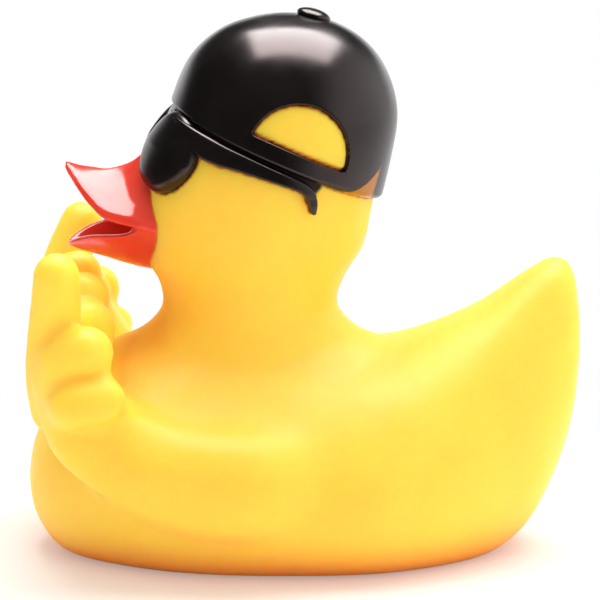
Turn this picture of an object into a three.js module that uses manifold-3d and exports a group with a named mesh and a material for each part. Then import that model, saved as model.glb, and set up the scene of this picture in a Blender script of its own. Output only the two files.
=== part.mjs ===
// Bath duck with a peaked cap turned sideways, sunglasses, an open bill and two raised arms.
// It is cast in one piece from soft vinyl: one hollow skin, open to the air at a vent in the base.
// Millimetres. +X is where the duck looks, +Y is its left side, +Z is up.
// The origin is the middle of the flat base, on the surface that the duck stands on.
import * as THREE from "three";
import { LoftGeometry } from "three/addons/geometries/LoftGeometry.js";
import { mergeVertices } from "three/addons/utils/BufferGeometryUtils.js";
import Module from "manifold-3d";

const wasm = await Module();
wasm.setup();

// Skin
const WALL = 2.5;
const VENT_DIAMETER = 3;
const VENT_X = -9;

// Body
const BODY_LENGTH = 86.4;
const BODY_WIDTH = 55;
const TAIL_HEIGHT = 45.7;
const BACK_HEIGHT = 33;
const BASE_TRIM = 3.4;
const BELLY_EGG = 0.1;
const BELLY_FULLNESS = 0.76;

// Neck and head
const NECK_SETBACK = 34.95;
const NECK_LENGTH = 26.9;
const NECK_WIDTH = 26.6;
const NECK_RISE = 6.3;
const SHOULDER_LENGTH = 46;
const SHOULDER_WIDTH = 44;
const SHOULDER_DROP = 7.5;
const SHOULDER_SAG = 6.8;
const HEAD_HEIGHT = 43.3;
const HEAD_LENGTH = 36;
const HEAD_WIDTH = 34.6;

// Bill, measured from the face and from the corner of the mouth
const BILL_LENGTH = 11.5;
const BILL_WIDTH = 20;
const BILL_ROOT_HEIGHT = 16;
const BILL_UPPER_RISE = 9;
const BILL_LOWER_DROP = 4;
const MOUTH_RISE = 12.8;
const MOUTH_CORNER = 0.8;

// Cap and sunglasses share one tilt, which follows the lean of the head
const GEAR_TILT = THREE.MathUtils.degToRad(24.5);
const GEAR_SETBACK = 3.85;
const RIM_RISE = 23.7;
const CAP_THICKNESS = 1.2;
const CAP_TURN = THREE.MathUtils.degToRad(-80);
const STRAP_WIDTH = 2.5;
const GAP_RADIUS = 7.6;
const BUTTON_DIAMETER = 5.2;
const BUTTON_HEIGHT = 1;
const PEAK_LENGTH = 12.5;
const PEAK_SPREAD = THREE.MathUtils.degToRad(47);
const PEAK_THICKNESS = 1.8;
const PEAK_DROOP = THREE.MathUtils.degToRad(20);
const PEAK_ARCH = 2.4;
const FRAME_RAISE = 1.6;
const FRAME_DROP = 0.8;
const BROW_WIDTH = 1.7;
const TEMPLE_WIDTH = 3.2;
const TEMPLE_TIP_WIDTH = 1.35;
const TEMPLE_BACK = 6.2;
const HOOK_LENGTH = 3.8;
const LENS_WIDTH = 14.6;
const LENS_HEIGHT = 12.8;
const LENS_RAISE = 2.7;
const LENS_SEAT = 2.6;
const LENS_TAPER = 0.2;
const LENS_SQUARENESS = 2.4;
const LENS_SPREAD = 8.4;
const LENS_DROP = 6.1;
const LENS_YAW = THREE.MathUtils.degToRad(28);

// Arms and hands
const ARM_HEIGHT = 17.6;
const ARM_THICKNESS = 13;
const ARM_PROUD = 3.2;
const ARM_Z = 15.6;
const ARM_SETBACK = 49.8;
const WRIST_DIAMETER = 12.6;
const HAND_SETBACK = 8.6;
const HAND_Y = 17.4;
const HAND_RISE = 0.6;
const HAND_LEAN = THREE.MathUtils.degToRad(23);
const FINGER_DIAMETER = 7.5;
const FINGER_PITCH = 5.5;
const FINGER_LENGTH = 18.65;
const FINGER_RAKE_LEFT = THREE.MathUtils.degToRad(2);
const FINGER_RAKE_RIGHT = THREE.MathUtils.degToRad(15);
const FIST_DEPTH = 14;
const FIST_HEIGHT = 16.6;
const FIST_INSET_RIGHT = 1.2;
const FOLD_RISE = 2.7;

// Places that follow from the sizes above
const tailX = -0.505 * BODY_LENGTH;
const breastX = tailX + BODY_LENGTH;
const neckX = breastX - NECK_SETBACK;
const neckZ = BACK_HEIGHT + NECK_RISE;
const headTop = neckZ + HEAD_HEIGHT;
const mouthZ = neckZ + MOUTH_RISE;
const rimX = neckX - GEAR_SETBACK;
const rimZ = neckZ + RIM_RISE;
const handX = breastX - HAND_SETBACK;
const handZ = BACK_HEIGHT + HAND_RISE;
const shoulderX = breastX - ARM_SETBACK;
const UP = new THREE.Vector3(0, 0, 1);
const REACH = 3 * BODY_LENGTH;

// Facets
const BODY_RINGS = 28;
const HEAD_RINGS = 28;
const CAVITY_RINGS = 14;
const RING_POINTS = 36;
const CAVITY_POINTS = 16;

// A closed geometry as a solid that can be joined and cut, placed by a matrix
function solid(geometry, matrix = new THREE.Matrix4()) {
  const bare = new THREE.BufferGeometry().copy(geometry).applyMatrix4(matrix);
  for (const name of Object.keys(bare.attributes)) {
    if (name !== "position") bare.deleteAttribute(name);
  }
  const merged = mergeVertices(bare, 1e-4);
  const triVerts = new Uint32Array(merged.index.array);
  if (matrix.determinant() < 0) triVerts.reverse();
  const vertProperties = new Float32Array(merged.attributes.position.array);
  return new wasm.Manifold(new wasm.Mesh({ numProp: 3, vertProperties, triVerts }));
}

function joined(solids) {
  return solids.reduce((whole, next) => whole.add(next));
}

function geometryOf(made) {
  const mesh = made.getMesh();
  return new THREE.BufferGeometry()
    .setAttribute("position", new THREE.BufferAttribute(mesh.vertProperties, 3))
    .setIndex(new THREE.BufferAttribute(mesh.triVerts, 1));
}

// A smooth line through one number of each row
function line(rows, pick) {
  const points = rows.map((row) => new THREE.Vector3(pick(row), 0, 0));
  const curve = new THREE.CatmullRomCurve3(points, false, "catmullrom", 0.5);
  return (t) => curve.getPoint(t).x;
}

// Skins a closed form through oval rings. Each row gives the two ends of a ring in the XZ plane and
// its width, and may let its sides hang. A positive grow puts an even skin round the form.
function railLoft(rows, { rings, points, grow = 0, egg = 0, fullness = 1 }) {
  const fromX = line(rows, (row) => row.from[0]);
  const fromZ = line(rows, (row) => row.from[1]);
  const toX = line(rows, (row) => row.to[0]);
  const toZ = line(rows, (row) => row.to[1]);
  const width = line(rows, (row) => row.width);
  const sag = line(rows, (row) => row.sag ?? 0);
  const middle = (t) => new THREE.Vector3((fromX(t) + toX(t)) / 2, 0, (fromZ(t) + toZ(t)) / 2);
  const half = (t) => new THREE.Vector3((toX(t) - fromX(t)) / 2, 0, (toZ(t) - fromZ(t)) / 2);
  const size = (t) => (half(t).length() + width(t) / 2) / 2;
  const sections = [];
  for (let i = 0; i <= rings; i += 1) {
    const t = i / rings;
    const before = Math.max(t - 1e-3, 0);
    const after = Math.min(t + 1e-3, 1);
    const along = middle(after).sub(middle(before));
    const slope = Math.atan2(size(after) - size(before), along.length());
    const spread = grow * Math.cos(slope);
    const centre = middle(t).addScaledVector(along.normalize(), -grow * Math.sin(slope));
    const axis = half(t);
    axis.setLength(axis.length() + spread);
    const reach = width(t) / 2 + spread;
    const section = [];
    for (let j = 0; j < points; j += 1) {
      const angle = (2 * Math.PI * j) / points;
      const across = Math.cos(angle);
      const share = Math.sign(across) * Math.abs(across) ** fullness * (1 - egg * Math.sin(angle));
      const side = new THREE.Vector3(0, reach * share, -sag(t) * across ** 2);
      section.push(centre.clone().addScaledVector(axis, Math.sin(angle)).add(side));
    }
    sections.push(section);
  }
  return new LoftGeometry(sections, { capStart: true, capEnd: true });
}

// A round-ended limb along a smooth line through stations, each a place with a radius.
// Flatness below 1 makes the rings narrower across Y than along the limb's own plane.
function limb(stations, { rings, sides, flatness = 1 }) {
  const spine = new THREE.CatmullRomCurve3(stations.map((station) => new THREE.Vector3(...station.at)));
  const radius = line(stations, (station) => station.r);
  const roundSteps = Math.max(3, Math.round(sides / 4));
  const places = [];
  for (let i = 1; i <= roundSteps; i += 1) {
    const angle = (Math.PI / 2) * (i / roundSteps);
    places.push({ t: 0, back: -Math.cos(angle), share: Math.sin(angle) });
  }
  for (let i = 1; i < rings; i += 1) places.push({ t: i / rings, back: 0, share: 1 });
  for (let i = roundSteps; i >= 1; i -= 1) {
    const angle = (Math.PI / 2) * (i / roundSteps);
    places.push({ t: 1, back: Math.cos(angle), share: Math.sin(angle) });
  }
  const sections = places.map(({ t, back, share }) => {
    const along = spine.getTangent(t);
    const across = new THREE.Vector3(0, 1, 0).addScaledVector(along, -along.y).normalize();
    const other = new THREE.Vector3().crossVectors(along, across);
    const centre = spine.getPoint(t).addScaledVector(along, back * radius(t));
    const ring = [];
    for (let j = 0; j < sides; j += 1) {
      const angle = (2 * Math.PI * j) / sides;
      ring.push(
        centre
          .clone()
          .addScaledVector(across, radius(t) * share * flatness * Math.cos(angle))
          .addScaledVector(other, radius(t) * share * Math.sin(angle)),
      );
    }
    return ring;
  });
  return new LoftGeometry(sections, { capStart: true, capEnd: true });
}

// Body: control sections from tail to breast, as shares of the length, the heights and the width
const bodyRows = [
  [0, 0.68, 0.76, 0.05],
  [0.013, 0.45, 0.945, 0.2],
  [0.045, 0.25, 1, 0.32],
  [0.1, 0.062, 0.945, 0.46],
].map(([at, under, back, wide]) => bodyRow(at, under * TAIL_HEIGHT, back * TAIL_HEIGHT, wide));
bodyRows.push(
  bodyRow(0.2, -0.6 * BASE_TRIM, 0.62 * TAIL_HEIGHT + 0.28 * BACK_HEIGHT, 0.69),
  bodyRow(0.35, -0.95 * BASE_TRIM, BACK_HEIGHT, 0.93),
  bodyRow(0.53, -BASE_TRIM, BACK_HEIGHT, 1),
  bodyRow(0.7, -0.95 * BASE_TRIM, 1.015 * BACK_HEIGHT, 0.95),
  bodyRow(0.84, -0.6 * BASE_TRIM, 0.985 * BACK_HEIGHT, 0.78),
  bodyRow(0.935, 0.025 * BACK_HEIGHT, 0.775 * BACK_HEIGHT, 0.53),
  bodyRow(0.982, 0.165 * BACK_HEIGHT, 0.56 * BACK_HEIGHT, 0.29),
  bodyRow(1, 0.29 * BACK_HEIGHT, 0.38 * BACK_HEIGHT, 0.05),
);

function bodyRow(at, under, back, wide) {
  const x = tailX + at * BODY_LENGTH;
  return { from: [x, under], to: [x, back], width: wide * BODY_WIDTH };
}

function bodyForm(grow, rings, points) {
  return railLoft(bodyRows, { rings, points, grow, egg: BELLY_EGG, fullness: BELLY_FULLNESS });
}

// Neck and head: shoulders that rise from the back, the waist of the neck, then the head up to its crown
const headRows = [
  ...[
    [1, 1, 1, 1],
    [0.84, 0.73, 0.65, 0.65],
    [0.68, 0.43, 0.31, 0.48],
    [0.46, 0.21, 0.12, 0.33],
    [0.23, 0.06, 0.03, 0.16],
  ].map(([drop, long, wide, sag]) =>
    headRow(
      neckZ - drop * SHOULDER_DROP,
      0,
      NECK_LENGTH + long * (SHOULDER_LENGTH - NECK_LENGTH),
      NECK_WIDTH + wide * (SHOULDER_WIDTH - NECK_WIDTH),
      sag * SHOULDER_SAG,
    ),
  ),
  headRow(neckZ, 0, NECK_LENGTH, NECK_WIDTH),
  ...[
    [0.085, -0.007, 0.8, 0.8],
    [0.208, -0.015, 0.94, 0.925],
    [0.363, -0.026, 0.986, 0.994],
    [0.531, -0.083, 0.99, 1],
    [0.686, -0.144, 0.92, 0.954],
    [0.848, -0.151, 0.775, 0.79],
    [0.948, -0.15, 0.515, 0.53],
    [0.99, -0.155, 0.22, 0.23],
    [1, -0.155, 0.03, 0.03],
  ].map(([rise, shift, long, wide]) =>
    headRow(neckZ + rise * HEAD_HEIGHT, shift * HEAD_LENGTH, long * HEAD_LENGTH, wide * HEAD_WIDTH),
  ),
];

function headRow(z, shift, length, width, sag = 0) {
  const x = neckX + shift;
  return { from: [x + length / 2, z], to: [x - length / 2, z], width, sag };
}

function headForm(grow, rings, points) {
  return railLoft(headRows, { rings, points, grow });
}

// Bill: two thin scoops that open from a short oval root on the face
const faceX = Math.max(...headRows.filter((row) => row.from[1] > neckZ).map((row) => row.from[0]));

function billScoop(rows, tip, floor) {
  const arc = 8;
  const sections = rows.map(([at, lip, edge, wide]) => {
    const x = faceX + at * BILL_LENGTH;
    const half = (wide / 2) * BILL_WIDTH;
    const lipZ = mouthZ + lip * tip;
    const height = (edge - lip) * tip;
    const ring = [];
    for (let i = 0; i <= arc; i += 1) {
      const angle = (Math.PI * i) / arc;
      ring.push(new THREE.Vector3(x, half * Math.cos(angle), lipZ + height * Math.sin(angle) ** 0.9));
    }
    for (let i = arc - 1; i >= 1; i -= 1) {
      const angle = (Math.PI * i) / arc;
      const inner = 0.86 * half * Math.cos(angle);
      ring.push(new THREE.Vector3(x, inner, lipZ + floor * height * Math.sin(angle)));
    }
    return tip > 0 ? ring : ring.reverse();
  });
  return new LoftGeometry(sections, { capStart: true, capEnd: true });
}

// Each section of a scoop gives its place along the bill, its lip, its ridge or keel, and its width
function billForm() {
  const upper = billScoop(
    [
      [-0.6, -0.17, 1.17, 0.86],
      [-0.1, -0.05, 1.09, 0.93],
      [0.2, 0.02, 0.91, 0.98],
      [0.43, 0.17, 0.85, 1],
      [0.64, 0.42, 0.86, 0.95],
      [0.82, 0.67, 0.89, 0.78],
      [0.94, 0.86, 0.95, 0.52],
      [1, 0.93, 0.99, 0.2],
    ],
    BILL_UPPER_RISE,
    0.6,
  );
  const lower = billScoop(
    [
      [-0.6, 0, 2.2, 0.84],
      [-0.1, 0.08, 2, 0.9],
      [0.2, 0.18, 1.78, 0.95],
      [0.43, 0.3, 1.55, 0.97],
      [0.64, 0.43, 1.38, 0.92],
      [0.82, 0.6, 1.25, 0.75],
      [0.92, 0.75, 1.15, 0.5],
      [0.99, 0.88, 1.05, 0.19],
    ],
    -BILL_LOWER_DROP,
    0.5,
  );
  const rootLength = 0.8 * BILL_LENGTH;
  const root = new THREE.CylinderGeometry(0.53, 0.47, rootLength, 30)
    .rotateZ(Math.PI / 2)
    .scale(1, BILL_WIDTH * 0.93, BILL_ROOT_HEIGHT)
    .translate(faceX + MOUTH_CORNER - rootLength / 2, 0, mouthZ + 0.4);
  return joined([solid(root), solid(upper), solid(lower)]);
}

// Cap and sunglasses stand in a tilted frame, with its origin in the middle of the cap's rim
const gear = new THREE.Matrix4().makeRotationY(-GEAR_TILT).setPosition(rimX, 0, rimZ);
const capTurn = gear.clone().multiply(new THREE.Matrix4().makeRotationZ(CAP_TURN));

// A prism on a side-view outline of the gear, right through the head from left to right
function gearPrism(shape) {
  const depth = REACH / 2;
  const prism = new THREE.ExtrudeGeometry(shape, { depth, bevelEnabled: false, curveSegments: 5 })
    .translate(0, 0, -depth / 2)
    .rotateX(Math.PI / 2);
  return solid(prism, gear);
}

// The cap is an even skin over the head above its rim, with the gap over its strap left open
function capForm() {
  const skin = solid(headForm(CAP_THICKNESS, HEAD_RINGS, RING_POINTS));
  const belowRim = solid(new THREE.BoxGeometry(REACH, REACH, REACH).translate(0, 0, -REACH / 2), gear);
  const gapShape = new THREE.Shape();
  gapShape.moveTo(-GAP_RADIUS, 0);
  gapShape.lineTo(GAP_RADIUS, 0);
  gapShape.absarc(0, 0, GAP_RADIUS, 0, Math.PI, false);
  const through = { depth: REACH, bevelEnabled: false, curveSegments: 20 };
  const gapCut = new THREE.ExtrudeGeometry(gapShape, through)
    .rotateX(Math.PI / 2)
    .rotateZ(-Math.PI / 2)
    .translate(0, 0, STRAP_WIDTH);
  return skin.subtract(belowRim).subtract(solid(gapCut, capTurn));
}

function buttonForm() {
  const crownX = neckX - 0.275 * HEAD_LENGTH;
  const button = new THREE.SphereGeometry(0.5, 16, 8)
    .scale(BUTTON_DIAMETER, BUTTON_DIAMETER, 2 * BUTTON_HEIGHT + CAP_THICKNESS)
    .rotateY(-GEAR_TILT)
    .translate(crownX, 0, headTop + 0.35 * CAP_THICKNESS);
  return solid(button);
}

// The peak is an arched crescent that leaves the rim opposite the strap and droops from it
function peakForm() {
  const rim = HEAD_WIDTH / 2;
  const steps = 18;
  const sections = [];
  for (let i = 0; i <= steps; i += 1) {
    const share = (2 * i) / steps - 1;
    const out = PEAK_LENGTH * Math.sqrt(1 - 0.96 * share ** 2);
    const fall = (reach) => reach * (Math.tan(PEAK_DROOP) + (PEAK_ARCH * share ** 2) / PEAK_LENGTH);
    const at = (reach, z) =>
      new THREE.Vector3(rim + reach, 0, z - fall(reach)).applyAxisAngle(UP, share * PEAK_SPREAD);
    sections.push([
      at(-WALL, 0),
      at(-WALL, PEAK_THICKNESS),
      at(out - 0.3 * PEAK_THICKNESS, PEAK_THICKNESS),
      at(out, 0.7 * PEAK_THICKNESS),
      at(out, 0.3 * PEAK_THICKNESS),
      at(out - 0.3 * PEAK_THICKNESS, 0),
    ]);
  }
  return solid(new LoftGeometry(sections, { capStart: true, capEnd: true }), capTurn);
}

// Sunglasses: a brow bar that runs back as two tapering temples, each with a hook, and two domed lenses
function sunglassesForm() {
  const skin = solid(headForm(FRAME_RAISE, HEAD_RINGS, RING_POINTS));
  const top = -FRAME_DROP;
  const tipX = -TEMPLE_BACK - 0.62 * HOOK_LENGTH;
  const lensEdge = 0.27 * HEAD_LENGTH;
  const bar = new THREE.Shape();
  bar.moveTo(HEAD_LENGTH, top);
  bar.lineTo(-TEMPLE_BACK, top);
  bar.quadraticCurveTo(-TEMPLE_BACK - 0.3 * HOOK_LENGTH, top - 0.1 * HOOK_LENGTH, tipX, top - HOOK_LENGTH);
  bar.lineTo(tipX + 0.15 * HOOK_LENGTH, top - 1.03 * HOOK_LENGTH);
  bar.quadraticCurveTo(-TEMPLE_BACK, top - TEMPLE_TIP_WIDTH, 1 - TEMPLE_BACK, top - TEMPLE_TIP_WIDTH);
  const sweep = 0.82 * TEMPLE_TIP_WIDTH + 0.18 * TEMPLE_WIDTH;
  bar.quadraticCurveTo(0.06 * HEAD_LENGTH, top - sweep, lensEdge, top - TEMPLE_WIDTH);
  bar.lineTo(0.36 * HEAD_LENGTH, top - BROW_WIDTH);
  bar.lineTo(HEAD_LENGTH, top - BROW_WIDTH);
  const frame = skin.intersect(gearPrism(bar));
  return joined([frame, solid(lensForm(1), gear), solid(lensForm(-1), gear)]);
}

// A lens is a pad with a rounded outline, narrower below, that domes out from its seat in the head
function lensForm(side) {
  const points = 20;
  const steps = 5;
  const sections = [];
  for (let i = 0; i <= steps; i += 1) {
    const lift = 0.47 * Math.PI * (i / steps);
    const reach = Math.cos(lift) ** (2 / 3);
    const proud = (LENS_SEAT + LENS_RAISE) * Math.sin(lift) - LENS_SEAT;
    const section = [];
    for (let j = 0; j < points; j += 1) {
      const angle = (2 * Math.PI * j) / points;
      const across = Math.cos(angle);
      const up = Math.sin(angle);
      const round = Math.abs(across) ** LENS_SQUARENESS + Math.abs(up) ** LENS_SQUARENESS;
      const share = reach / round ** (1 / LENS_SQUARENESS);
      const width = LENS_WIDTH * (1 + LENS_TAPER * Math.min(share * up, 0));
      section.push(new THREE.Vector3(proud, 0.5 * width * share * across, 0.5 * LENS_HEIGHT * share * up));
    }
    sections.push(section);
  }
  return new LoftGeometry(sections, { capStart: true, capEnd: true })
    .rotateZ(side * LENS_YAW)
    .translate(0.407 * HEAD_LENGTH, side * LENS_SPREAD, -LENS_DROP);
}

// Left arm: a thick limb from the flank, along the body and up at the breast to the wrist
const armY = BODY_WIDTH / 2 + ARM_PROUD - ARM_THICKNESS / 2;

function armForm() {
  const r = ARM_HEIGHT / 2;
  const wrist = WRIST_DIAMETER / 2;
  const along = (share) => shoulderX + share * (handX - shoulderX);
  const up = (share) => ARM_Z + share * (handZ - 2 - ARM_Z);
  const stations = [
    { at: [along(0), armY - 4.5, up(0.02)], r: 0.76 * r },
    { at: [along(0.34), armY, up(0)], r },
    { at: [along(0.61), armY - 0.8, up(0.055)], r: 0.94 * r },
    { at: [along(0.81), armY - 2.6, up(0.275)], r: 0.84 * r },
    { at: [along(0.947), HAND_Y + 3.2, up(0.55)], r: 0.5 * (0.84 * r + wrist) },
    { at: [handX, HAND_Y + 1.2, up(1)], r: wrist },
  ];
  return limb(stations, { rings: 13, sides: 18, flatness: ARM_THICKNESS / ARM_HEIGHT });
}

// Left hand, in a frame that leans outwards: a palm, one finger up, a thumb, and three folded fingers that
// each run over the fist and curl in to a round tip, with the web of the knuckles between them
function handForm(rake, inset) {
  const hand = new THREE.Matrix4().makeRotationX(-HAND_LEAN).setPosition(handX, HAND_Y, handZ);
  const r = FINGER_DIAMETER / 2;
  const front = FIST_DEPTH / 2;
  const tipX = 0.32 * front;
  const raisedX = (z) => tipX + (FINGER_LENGTH - r - z) * Math.tan(rake);
  const raised = limb(
    [
      { at: [0.37 * front, 0, -3], r: 1.12 * r },
      { at: [raisedX(7.5), 0, 7.5], r: 1.05 * r },
      { at: [tipX, 0, FINGER_LENGTH - r], r },
    ],
    { rings: 4, sides: 12 },
  );
  const fingers = [
    { y: FINGER_PITCH, rise: 1.6, plump: 1.02 },
    { y: -FINGER_PITCH, rise: 0, plump: 0.94 },
    { y: -2 * FINGER_PITCH, rise: 1.5, plump: 0.88 },
  ];
  const folded = fingers.flatMap(({ y, rise, plump }) => {
    const fold = rise + FOLD_RISE;
    const back = limb(
      [
        { at: [0.42 * front + inset, 0.9 * y, rise - 2.4], r: 0.96 * plump * r },
        { at: [0.1 * front + inset, y, fold - 0.9], r: plump * r },
        { at: [-0.36 * front + inset, y, fold], r: plump * r },
      ],
      { rings: 3, sides: 10 },
    );
    const tip = new THREE.SphereGeometry(0.95 * plump * r, 9, 6);
    return [back, tip.translate(-0.42 * front + inset, y, fold - 2.7)];
  });
  const thumb = limb(
    [
      { at: [0.3 * front + inset, FINGER_PITCH, -4.4], r: 0.9 * r },
      { at: [-0.2 * front + inset, 1.35 * FINGER_PITCH, -1.6], r: 0.93 * r },
      { at: [-0.71 * front + inset, 1.36 * FINGER_PITCH, 0], r: 0.87 * r },
    ],
    { rings: 4, sides: 10 },
  );
  const web = new THREE.CapsuleGeometry(0.45 * FINGER_PITCH, 3 * FINGER_PITCH, 3, 8, 1)
    .translate(-0.1 * front + inset, -0.5 * FINGER_PITCH, FOLD_RISE - 1);
  const palm = new THREE.SphereGeometry(0.5, 14, 9)
    .scale(0.79 * FIST_DEPTH, 3.75 * FINGER_PITCH, FIST_HEIGHT)
    .translate(0.1 * front + inset, -0.47 * FINGER_PITCH, -4.1);
  return joined([palm, web, raised, thumb, ...folded].map((piece) => solid(piece, hand)));
}

// The whole outside, trimmed flat where the duck stands
const mirror = new THREE.Matrix4().makeScale(1, -1, 1);
const left = joined([solid(armForm()), handForm(FINGER_RAKE_LEFT, 0)]);
const rightHand = handForm(FINGER_RAKE_RIGHT, FIST_INSET_RIGHT);
const right = solid(geometryOf(joined([solid(armForm()), rightHand])), mirror);
const underBase = solid(new THREE.BoxGeometry(REACH, REACH, REACH).translate(0, 0, -REACH / 2));
const outside = joined([
  solid(bodyForm(0, BODY_RINGS, RING_POINTS)),
  solid(headForm(0, HEAD_RINGS, RING_POINTS)),
  billForm(),
  capForm(),
  buttonForm(),
  peakForm(),
  sunglassesForm(),
  left,
  right,
]).subtract(underBase);

// The hollow that casting leaves inside, a wall below the outside, and the vent that opens it
const belowFloor = solid(new THREE.BoxGeometry(REACH, REACH, REACH).translate(0, 0, WALL - REACH / 2));
const hollow = joined([
  solid(bodyForm(-WALL, CAVITY_RINGS, CAVITY_POINTS)),
  solid(headForm(-WALL, CAVITY_RINGS, CAVITY_POINTS)),
]).subtract(belowFloor);
const vent = solid(
  new THREE.CylinderGeometry(VENT_DIAMETER / 2, VENT_DIAMETER / 2, 4 * WALL, 20)
    .rotateX(Math.PI / 2)
    .translate(VENT_X, 0, 0),
);

const duck = new THREE.Mesh(
  geometryOf(outside.subtract(hollow).subtract(vent)),
  new THREE.MeshStandardMaterial({ color: 0xf9cf1f, roughness: 0.5, metalness: 0 }),
);
duck.name = "duck";

const part = new THREE.Group();
part.add(duck);
export default part;
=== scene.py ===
# %% [markdown]
# # A bath duck in a cap and sunglasses
#
# The real duck is one soft vinyl casting. It is cast in yellow, and its cap, its
# sunglasses and its bill are then sprayed black and red through masks. The CAD
# model gives the size and the place of every form. This lesson gives them the soft
# folds, the crisp paint edges and the gloss that a camera sees.
#
# Everything is drawn in millimetres, where the sizes are easy to read, and each
# finished mesh is scaled to metres once.

# %% Load the frame
import math

import bmesh
import bpy
from mathutils import Matrix, Vector
from mathutils.bvhtree import BVHTree


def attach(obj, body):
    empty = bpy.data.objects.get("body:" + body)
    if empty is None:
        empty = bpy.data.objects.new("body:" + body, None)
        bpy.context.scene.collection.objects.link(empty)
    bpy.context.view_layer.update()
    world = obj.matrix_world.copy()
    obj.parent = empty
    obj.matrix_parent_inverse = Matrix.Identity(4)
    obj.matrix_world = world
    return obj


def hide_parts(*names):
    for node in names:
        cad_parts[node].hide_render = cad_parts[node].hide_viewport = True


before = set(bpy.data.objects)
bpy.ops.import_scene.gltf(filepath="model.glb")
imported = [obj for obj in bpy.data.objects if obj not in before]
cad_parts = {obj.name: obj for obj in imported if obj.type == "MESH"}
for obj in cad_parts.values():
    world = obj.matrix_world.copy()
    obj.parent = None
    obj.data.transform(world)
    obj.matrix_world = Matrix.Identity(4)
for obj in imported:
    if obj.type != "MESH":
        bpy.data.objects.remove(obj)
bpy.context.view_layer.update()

# %% [markdown]
# ## The camera
#
# A duck is pictured from its left side, a little from above, with a long lens so
# that the near arm isn't swollen. The camera is made first, because it decides what
# the picture shows.

# %% Camera
camera = bpy.data.objects.new("camera", bpy.data.cameras.new("camera"))
bpy.context.collection.objects.link(camera)
camera.data.sensor_width = 36
camera.data.lens = 161.28
camera.location = (0, 0.41157, 0.12274)
aim = Vector((0, 0, 0.039)) - camera.location
camera.rotation_euler = aim.to_track_quat("-Z", "Y").to_euler()
bpy.context.scene.camera = camera
print("camera stands", round(aim.length, 3), "m away")

# %% [markdown]
# ## Two ways to make a round form
#
# Most of the duck is made of closed forms that swell and narrow along a line. One
# way is to extrude a circle ring by ring. A quicker one is to roll a flat grid into a
# tube: one direction of the grid goes round the form, the other goes along it, and
# the two open ends are filled. A smooth line through a few rows of sizes says how
# wide the tube is at each place.

# %% Helpers for rolled forms
def through(rows, share):
    """The row of sizes at a share of the way along a smooth line through the rows."""
    place = min(max(share, 0.0), 1.0) * (len(rows) - 1)
    i = min(int(place), len(rows) - 2)
    u = place - i
    b, c = Vector(rows[i]), Vector(rows[i + 1])
    a = Vector(rows[i - 1]) if i else 2 * b - c
    d = Vector(rows[i + 2]) if i + 2 < len(rows) else 2 * c - b
    return b + 0.5 * u * (c - a + u * (2 * a - 5 * b + 4 * c - d + u * (3 * (b - c) + d - a)))


def roll(bm, around, along, place):
    """Rolls a grid into a tube: place(angle, share) says where each of its points goes."""
    grid = bmesh.ops.create_grid(bm, x_segments=around, y_segments=along, size=1)
    for v in grid["verts"]:
        v.co = place(math.pi * v.co.x, 0.5 + 0.5 * v.co.y)


def close(bm):
    """Joins the seams of rolled forms and fills their ends."""
    bmesh.ops.remove_doubles(bm, verts=bm.verts, dist=1e-4)
    bmesh.ops.holes_fill(bm, edges=[e for e in bm.edges if e.is_boundary])
    bmesh.ops.recalc_face_normals(bm, faces=bm.faces)


# %% [markdown]
# ## Body and head
#
# The body is a fat boat shape with a tail that sweeps up. Its sides are fuller than
# an ellipse and a little wider below the middle. The head grows from the back on
# soft shoulders that hang down on both sides like a saddle, narrows to the neck, and
# leans back towards the crown. Each row below gives sizes at one place.

# %% Body and head forms
BODY = [  # x, underside, back, width
    (-43.85, 31.08, 34.9, 2.75), (-42.7, 20.57, 43.5, 11.0), (-39.85, 11.43, 46.0, 17.6),
    (-34.99, 2.83, 43.3, 25.3), (-26.35, -2.04, 37.3, 37.95), (-13.39, -3.23, 32.5, 51.15),
    (2.16, -3.4, 33.0, 55.0), (16.85, -3.23, 33.5, 52.25), (28.95, -2.04, 32.5, 42.9),
    (37.15, 0.1, 25.58, 29.15), (41.21, 4.7, 18.48, 15.95), (42.77, 9.2, 12.54, 2.75),
]
HEAD = [  # height, x, length, width, how far the sides hang
    (31.8, 7.82, 46.0, 44.0, 6.8), (33.0, 7.82, 40.84, 37.91, 4.42), (34.2, 7.82, 35.11, 31.99, 3.26),
    (35.85, 7.82, 30.91, 28.69, 2.24), (37.58, 7.82, 28.05, 27.12, 1.09), (39.3, 7.82, 26.9, 26.6, 0),
    (42.98, 7.64, 29.0, 27.68, 0), (45.3, 7.75, 32.0, 30.1, 0), (48.31, 7.15, 34.4, 32.0, 0),
    (55.02, 6.65, 36.0, 34.39, 0), (62.29, 4.83, 35.64, 34.6, 0), (69.0, 2.64, 33.12, 33.01, 0),
    (76.02, 2.38, 27.9, 27.33, 0), (80.35, 2.42, 18.54, 18.34, 0), (82.17, 2.24, 7.92, 7.96, 0),
    (82.6, 2.24, 1.08, 1.04, 0),
]


def body_place(angle, share):
    x, under, back, width = through(BODY, share)
    across, up = math.cos(angle), math.sin(angle)
    y = 0.5 * width * math.copysign(abs(across) ** 0.76, across) * (1 - 0.1 * up)
    return (x, y, 0.5 * (under + back) + 0.5 * (back - under) * up)


def head_place(angle, share):
    z, x, length, width, hang = through(HEAD, share)
    across = math.cos(angle)
    return (x + 0.5 * length * math.sin(angle), 0.5 * width * across, z - hang * across ** 2)


duck = bmesh.new()
roll(duck, 72, 90, body_place)
close(duck)
below = duck.verts[:] + duck.edges[:] + duck.faces[:]
cut = bmesh.ops.bisect_plane(duck, geom=below, plane_co=(0, 0, 0), plane_no=(0, 0, -1), clear_outer=True)
roll(duck, 72, 90, head_place)
close(duck)
print("body and head:", len(duck.faces), "faces, base trimmed through", len(cut["geom_cut"]), "pieces")

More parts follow.
